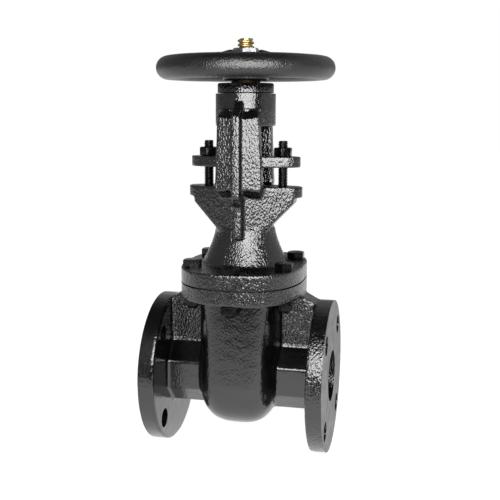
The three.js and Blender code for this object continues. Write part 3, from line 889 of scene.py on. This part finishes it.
def enamel(name, sand, grain, roughness=0.1, gloss=1.7, coarse=None):
    """Gloss black enamel over the skin of a sand casting.

    Sand is the height of the skin's grain and grain its size, both in millimetres. Gloss is the enamel's
    refractive index. Coarse gives the share of the grain's height from place to place.
    """
    material, n, place = new_material(name)
    upright = n.add("ShaderNodeMapping", {"Vector": place, "Scale": (1.1, 1.1, 0.75)}).outputs["Vector"]
    skin = n.noise(upright, per_mm(grain), 1, 0.4)
    swell = n.noise(place, per_mm(7), 1, 0.5)
    patches = n.noise(place, per_mm(24), 3, 0.6)
    deep, thin = (0.0006, 0.0007, 0.0009, 1), (0.002, 0.0022, 0.0026, 1)
    colour = n.mix_colour(n.remap(patches, 0.45, 0.7), deep, thin)
    polish = n.math("ADD", n.remap(patches, 0.3, 0.7, roughness, roughness + 0.07),
                    n.remap(skin, 0.3, 0.7, 0.0, 0.05))
    height = n.math("MULTIPLY", skin, sand * MM)
    if coarse:
        away = n.add("ShaderNodeSeparateXYZ", {"Vector": place}).outputs
        height = n.math("MULTIPLY", height, coarse(n, away["X"], away["Z"]))
    height = n.math("ADD", height, n.math("MULTIPLY", swell, 0.15 * MM))
    shader = n.add("ShaderNodeBsdfPrincipled", {
        "Base Color": colour, "Roughness": polish, "Normal": n.bump(height, 1.0)})
    shader.inputs["IOR"].default_value = gloss
    finish_material(n, shader)
    return material


def body_skin(n, along, height):
    """Coarse on the webs, the joint flange and the outlet flange, finer on the rest of the body."""
    def step(value, place, low, high, width=1.5):
        return n.remap(value, place * MM, (place + width) * MM, low, high)

    flange_start = face_x - flange_thickness - 1
    across = n.math("ABSOLUTE", along)
    outlet = step(along, flange_start, 0.3, 0.9)
    joint = step(height, body_flange_bottom - 1, 0.0, 0.9, width=1)
    beside = n.math("MULTIPLY", step(across, bowl_half_x, 0.0, 1.0), step(across, flange_start, 1.0, 0.0))
    webs = n.math("MULTIPLY", beside, step(height, neck_apothem - 1.5, 0.3, 1.3, width=2))
    return n.math("MAXIMUM", n.math("MAXIMUM", outlet, joint), webs)


def bonnet_skin(n, along, height):
    """Coarse on the arms and the lug webs, a little finer on the neck, finest on the hub."""
    neck = n.remap(height, (neck_top - 2) * MM, neck_top * MM, 0.85, 1.0)
    hub = n.remap(height, (arm_top - 1) * MM, arm_top * MM, 1.0, 0.4)
    return n.math("MULTIPLY", neck, hub)


def faced(name):
    """Thin satin black over a turned face, with the fine rings that the tool left."""
    material, n, place = new_material(name)
    away = n.add("ShaderNodeSeparateXYZ", {"Vector": place}).outputs
    squares = n.math("ADD", n.math("POWER", away["Y"], 2.0), n.math("POWER", away["Z"], 2.0))
    radius = n.math("SQRT", squares)
    rings = n.math("SINE", n.math("MULTIPLY", radius, 2 * math.pi * per_mm(0.9)))
    stain = n.noise(place, per_mm(14), 4, 0.6)
    colour = n.mix_colour(stain, (0.012, 0.0125, 0.013, 1), (0.04, 0.041, 0.043, 1))
    shader = n.add("ShaderNodeBsdfPrincipled", {
        "Base Color": colour, "Roughness": n.remap(stain, 0.3, 0.7, 0.34, 0.5),
        "Normal": n.bump(n.math("MULTIPLY", rings, 0.01 * MM), 1.0)})
    finish_material(n, shader)
    return material


def metal(name, base, worn, rough):
    """Machined metal with a fine turned grain, stains and uneven polish."""
    material, n, place = new_material(name)
    stain = n.noise(place, per_mm(9), 3, 0.6)
    fine = n.noise(place, per_mm(0.5), 2, 0.6)
    colour = n.mix_colour(n.remap(stain, 0.4, 0.7), base, worn)
    stained = n.remap(stain, 0.3, 0.7, rough, rough + 0.12)
    roughness = n.math("ADD", stained, n.remap(fine, 0.3, 0.7, 0.0, 0.06))
    shader = n.add("ShaderNodeBsdfPrincipled", {
        "Base Color": colour, "Roughness": roughness, "Normal": n.bump(fine, 0.02 * MM)})
    shader.inputs["Metallic"].default_value = 1.0
    finish_material(n, shader)
    return material


def soft(name, base, worn, rough, grain):
    """Dull fibrous sheet or yarn."""
    material, n, place = new_material(name)
    weave = n.noise(place, per_mm(grain), 3, 0.7)
    colour = n.mix_colour(weave, base, worn)
    roughness = n.remap(weave, 0.3, 0.7, rough, rough + 0.1)
    shader = n.add("ShaderNodeBsdfPrincipled", {
        "Base Color": colour, "Roughness": roughness, "Normal": n.bump(weave, 0.1 * MM)})
    finish_material(n, shader)
    return material


body_enamel = enamel("body_enamel", 0.82, 1.8, coarse=body_skin)
bonnet_enamel = enamel("bonnet_enamel", 0.82, 1.8, coarse=bonnet_skin)
cast_enamel = enamel("cast_enamel", 0.55, 1.8)
rim_enamel = enamel("rim_enamel", 0.5, 1.5, roughness=0.3, gloss=1.58)
black_steel = enamel("black_steel", 0.3, 2.2, roughness=0.12, gloss=1.3)
faced_iron = faced("faced_iron")
bright_steel = metal("bright_steel", (0.42, 0.43, 0.45, 1), (0.2, 0.205, 0.21, 1), 0.3)
brass = metal("brass", (0.6, 0.46, 0.21, 1), (0.34, 0.25, 0.1, 1), 0.3)
bronze = metal("bronze", (0.06, 0.042, 0.024, 1), (0.03, 0.022, 0.013, 1), 0.45)
graphite = soft("graphite", (0.03, 0.03, 0.032, 1), (0.06, 0.06, 0.062, 1), 0.6, 1.2)
gasket_sheet = soft("gasket_sheet", (0.015, 0.015, 0.015, 1), (0.035, 0.034, 0.032, 1), 0.75, 0.8)


# ---- building ------------------------------------------------------------------------------------
def build_body():
    """The body casting, its two end faces turned smooth."""
    rough = cast(body_shells(), 1.4, 5)
    for fin in parting_fins():
        boolean(rough, fin, "UNION")
    casting = piece("body_casting", machine(rough, *body_tools()),
                    "valve_body", body_enamel, ["body"])
    casting.data.materials.append(faced_iron)
    for polygon in casting.data.polygons:
        turned = abs(polygon.normal.x) > 0.99
        if turned and abs(polygon.center.x) > (face_x - 0.1) * MM:
            polygon.material_index = 1


def build_castings():
    piece("bonnet_casting", machine(cast(bonnet_shells(), 1.2, 5), *bonnet_tools()),
          "valve_body", bonnet_enamel, ["bonnet_yoke"])
    piece("gland_plate", machine(cast(gland_shells(), 0.8, 5), *gland_tools()),
          "valve_body", cast_enamel, ["gland_flange"])
    piece("wheel_casting", machine(cast(wheel_shells(), 1.1, 6), *wheel_tools()),
          "wheel", rim_enamel, ["handwheel"])


def build_turned_pieces():
    piece("cap", as_object("cap", yoke_cap()), "valve_body", cast_enamel, ["yoke_cap"])
    piece("joint_gasket", as_object("gasket", gasket()),
          "valve_body", gasket_sheet, ["bonnet_gasket"])
    piece("threaded_stem", as_object("stem", stem()), "stem", brass, ["stem"])
    piece("stem_nut", as_object("nut", yoke_nut()), "wheel", bronze, ["yoke_nut"])
    piece("follower", as_object("follower", gland_follower()),
          "valve_body", bronze, ["gland_follower"])
    across = wheel_nut_high.x - wheel_nut_low.x
    top_nut = nut(across, sleeve_top_radius, wheel_nut_low.z, wheel_nut_high.z)
    piece("hand_nut", as_object("nut", top_nut), "wheel", bright_steel, ["wheel_nut"])
    for end, side in (("inlet", -1), ("outlet", 1)):
        piece(f"seat_{end}", as_object("seat", seat_ring(side)),
              "valve_body", bronze, [f"seat_ring_{end}"])


def fastener(name, obj, node):
    """A black steel piece that stays on the body."""
    piece(name, obj, "valve_body", black_steel, [node])


def steel_nut(low, high, place):
    """A nut for a bolt or stud, between two heights."""
    return eased(as_object("nut", moved(nut(nut_across, bolt_radius + gap, low.z, high.z), place)))


def build_fasteners():
    """Studs and nuts of the gland, then the bolts and nuts of the joint."""
    for end, side in (("left", -1), ("right", 1)):
        place = Matrix.Translation((side * stud_x, 0, 0))
        shape = moved(stud(stud_low.z, stud_high.z), place)
        fastener(f"stud_{end}", as_object("stud", shape), f"gland_stud_{end}")
        fastener(f"stud_nut_{end}", steel_nut(nut_low, nut_high, place), f"gland_nut_{end}")
    for i, (x, y) in enumerate(bonnet_bolts, 1):
        turned = Matrix.Rotation(math.pi / 6 if x == 0 else 0, 4, "Z")
        place = Matrix.Translation((x, y, 0)) @ turned
        shape = moved(bolt(bonnet_flange_top, bolt_low.z, bolt_high.z - bonnet_flange_top), place)
        fastener(f"joint_bolt_{i}", as_object("bolt", shape), f"bonnet_bolt_{i}")
        fastener(f"joint_nut_{i}", steel_nut(*size(f"bonnet_nut_{i}"), place), f"bonnet_nut_{i}")


def dress_cad_pieces():
    """Materials for the pieces that the CAD's own shapes stand for."""
    looks = {"bronze": bronze, "black_steel": black_steel, "graphite_packing": graphite}
    slots = {row["node"]: row["material_slot"] for row in frame["record"]["subparts"]}
    for name, obj in frame["nodes"].items():
        if not obj.hide_render:
            obj.data.materials.clear()
            obj.data.materials.append(looks[slots[name]])


build_body()
build_castings()
build_turned_pieces()
build_fasteners()
dress_cad_pieces()


# ---- floor, light and camera ---------------------------------------------------------------------
camera_place = Vector((0.18756, -0.80471, 0.26555))
camera_yaw, camera_pitch, camera_roll = -0.2235, -0.1695, 0.0028
lens_length = 60.2982
sensor_width = 36.0


def floor():
    """A pale table top under the valve."""
    z = cad_low.z
    bm = bmesh.new()
    left, right, front, back = -4, 4, -0.75, 6
    corners = ((left, front), (right, front), (right, back), (left, back))
    bm.faces.new([bm.verts.new((x, y, z)) for x, y in corners])
    obj = as_object("table_top", bm)
    material, n, _ = new_material("table_top")
    shader = n.add("ShaderNodeBsdfPrincipled")
    shader.inputs["Base Color"].default_value = (0.45, 0.45, 0.45, 1)
    shader.inputs["Roughness"].default_value = 0.8
    shader.inputs["Emission Color"].default_value = (1, 1, 1, 1)
    shader.inputs["Emission Strength"].default_value = 0.92
    finish_material(n, shader)
    obj.data.materials.append(material)


def soft_boxes():
    """A row of soft lights side by side, close in front of the valve."""
    left = Vector((-0.1, -0.455, 0))
    right = Vector((0.432, -0.417, 0))
    low, high = 0.12, 0.52
    count = 6
    lit_share = 0.62
    step = (right - left) / count
    along = step.normalized()
    up = Vector((0, 0, 1))
    turned = Matrix((along, up, along.cross(up))).transposed().to_4x4()
    for i in range(count):
        data = bpy.data.lights.new("soft_box", "AREA")
        data.shape = "RECTANGLE"
        data.size = step.length * lit_share
        data.size_y = high - low
        data.energy = 15 * math.pi * data.size * data.size_y
        obj = bpy.data.objects.new("soft_box", data)
        bpy.context.scene.collection.objects.link(obj)
        centre = left + step * (i + 0.5) + up * (low + high) / 2
        obj.matrix_world = Matrix.Translation(centre) @ turned


def room():
    """Pale, slatted walls that darken overhead, with a dark gap in front where the camera stands."""
    world = bpy.data.worlds.new("room")
    bpy.context.scene.world = world
    world.use_nodes = True
    n = Nodes(world.node_tree)
    outward = n.add("ShaderNodeTexCoord").outputs["Generated"]
    x, y, z = n.add("ShaderNodeSeparateXYZ", {"Vector": outward}).outputs
    turn = n.math("SUBTRACT", n.math("ARCTAN2", x, n.math("MULTIPLY", y, -1.0)), math.radians(13))
    rise = n.math("ARCSINE", z)

    def above(value, degrees, edge, low=0.0, high=1.0):
        start, end = math.radians(degrees - edge), math.radians(degrees + edge)
        return n.remap(value, start, end, low, high, smooth=True)

    sideways = n.math("MULTIPLY", n.math("SINE", turn), 0.14)
    ahead = n.math("MULTIPLY", n.math("COSINE", turn), 0.1)
    wall = n.math("ADD", 0.45, n.math("ADD", sideways, ahead))
    overhead = above(rise, 50, 14, 1.0, 0.2)
    opening = n.math("MULTIPLY", above(turn, -30, 3), above(turn, 57, 3, 1.0, 0.0))
    slats = n.math("ADD", 1.0, n.math("MULTIPLY", n.math("SINE", n.math("MULTIPLY", turn, 18.0)), 0.5))
    kept = n.math("SUBTRACT", 1.0, n.math("MULTIPLY", opening, 0.93))
    light = n.math("MULTIPLY", n.math("MULTIPLY", wall, slats), n.math("MULTIPLY", overhead, kept))
    seen = n.add("ShaderNodeBackground", {"Color": (1, 1, 1, 1), "Strength": 1.0})
    lit = n.add("ShaderNodeBackground", {"Color": (1, 1, 1, 1), "Strength": light})
    chosen = n.add("ShaderNodeMixShader", {
        0: n.add("ShaderNodeLightPath").outputs["Is Camera Ray"], 1: lit.outputs[0], 2: seen.outputs[0]})
    n.tree.links.new(chosen.outputs[0], n.add("ShaderNodeOutputWorld").inputs["Surface"])


def camera():
    """The camera, from its place, its three angles and its lens."""
    data = bpy.data.cameras.new("camera")
    data.sensor_width = sensor_width
    data.lens = lens_length
    data.clip_start, data.clip_end = 0.01, 50
    obj = bpy.data.objects.new("camera", data)
    bpy.context.scene.collection.objects.link(obj)
    level = math.cos(camera_pitch)
    forward = Vector((math.sin(camera_yaw) * level, math.cos(camera_yaw) * level, math.sin(camera_pitch)))
    right = forward.cross(Vector((0, 0, 1))).normalized()
    up = right.cross(forward)
    c, s = math.cos(camera_roll), math.sin(camera_roll)
    right, up = c * right + s * up, c * up - s * right
    turned = Matrix((right, up, -forward)).transposed().to_4x4()
    obj.matrix_world = Matrix.Translation(camera_place) @ turned
    bpy.context.scene.camera = obj


floor()
soft_boxes()
room()
camera()
bpy.context.scene.view_settings.view_transform = "Standard"
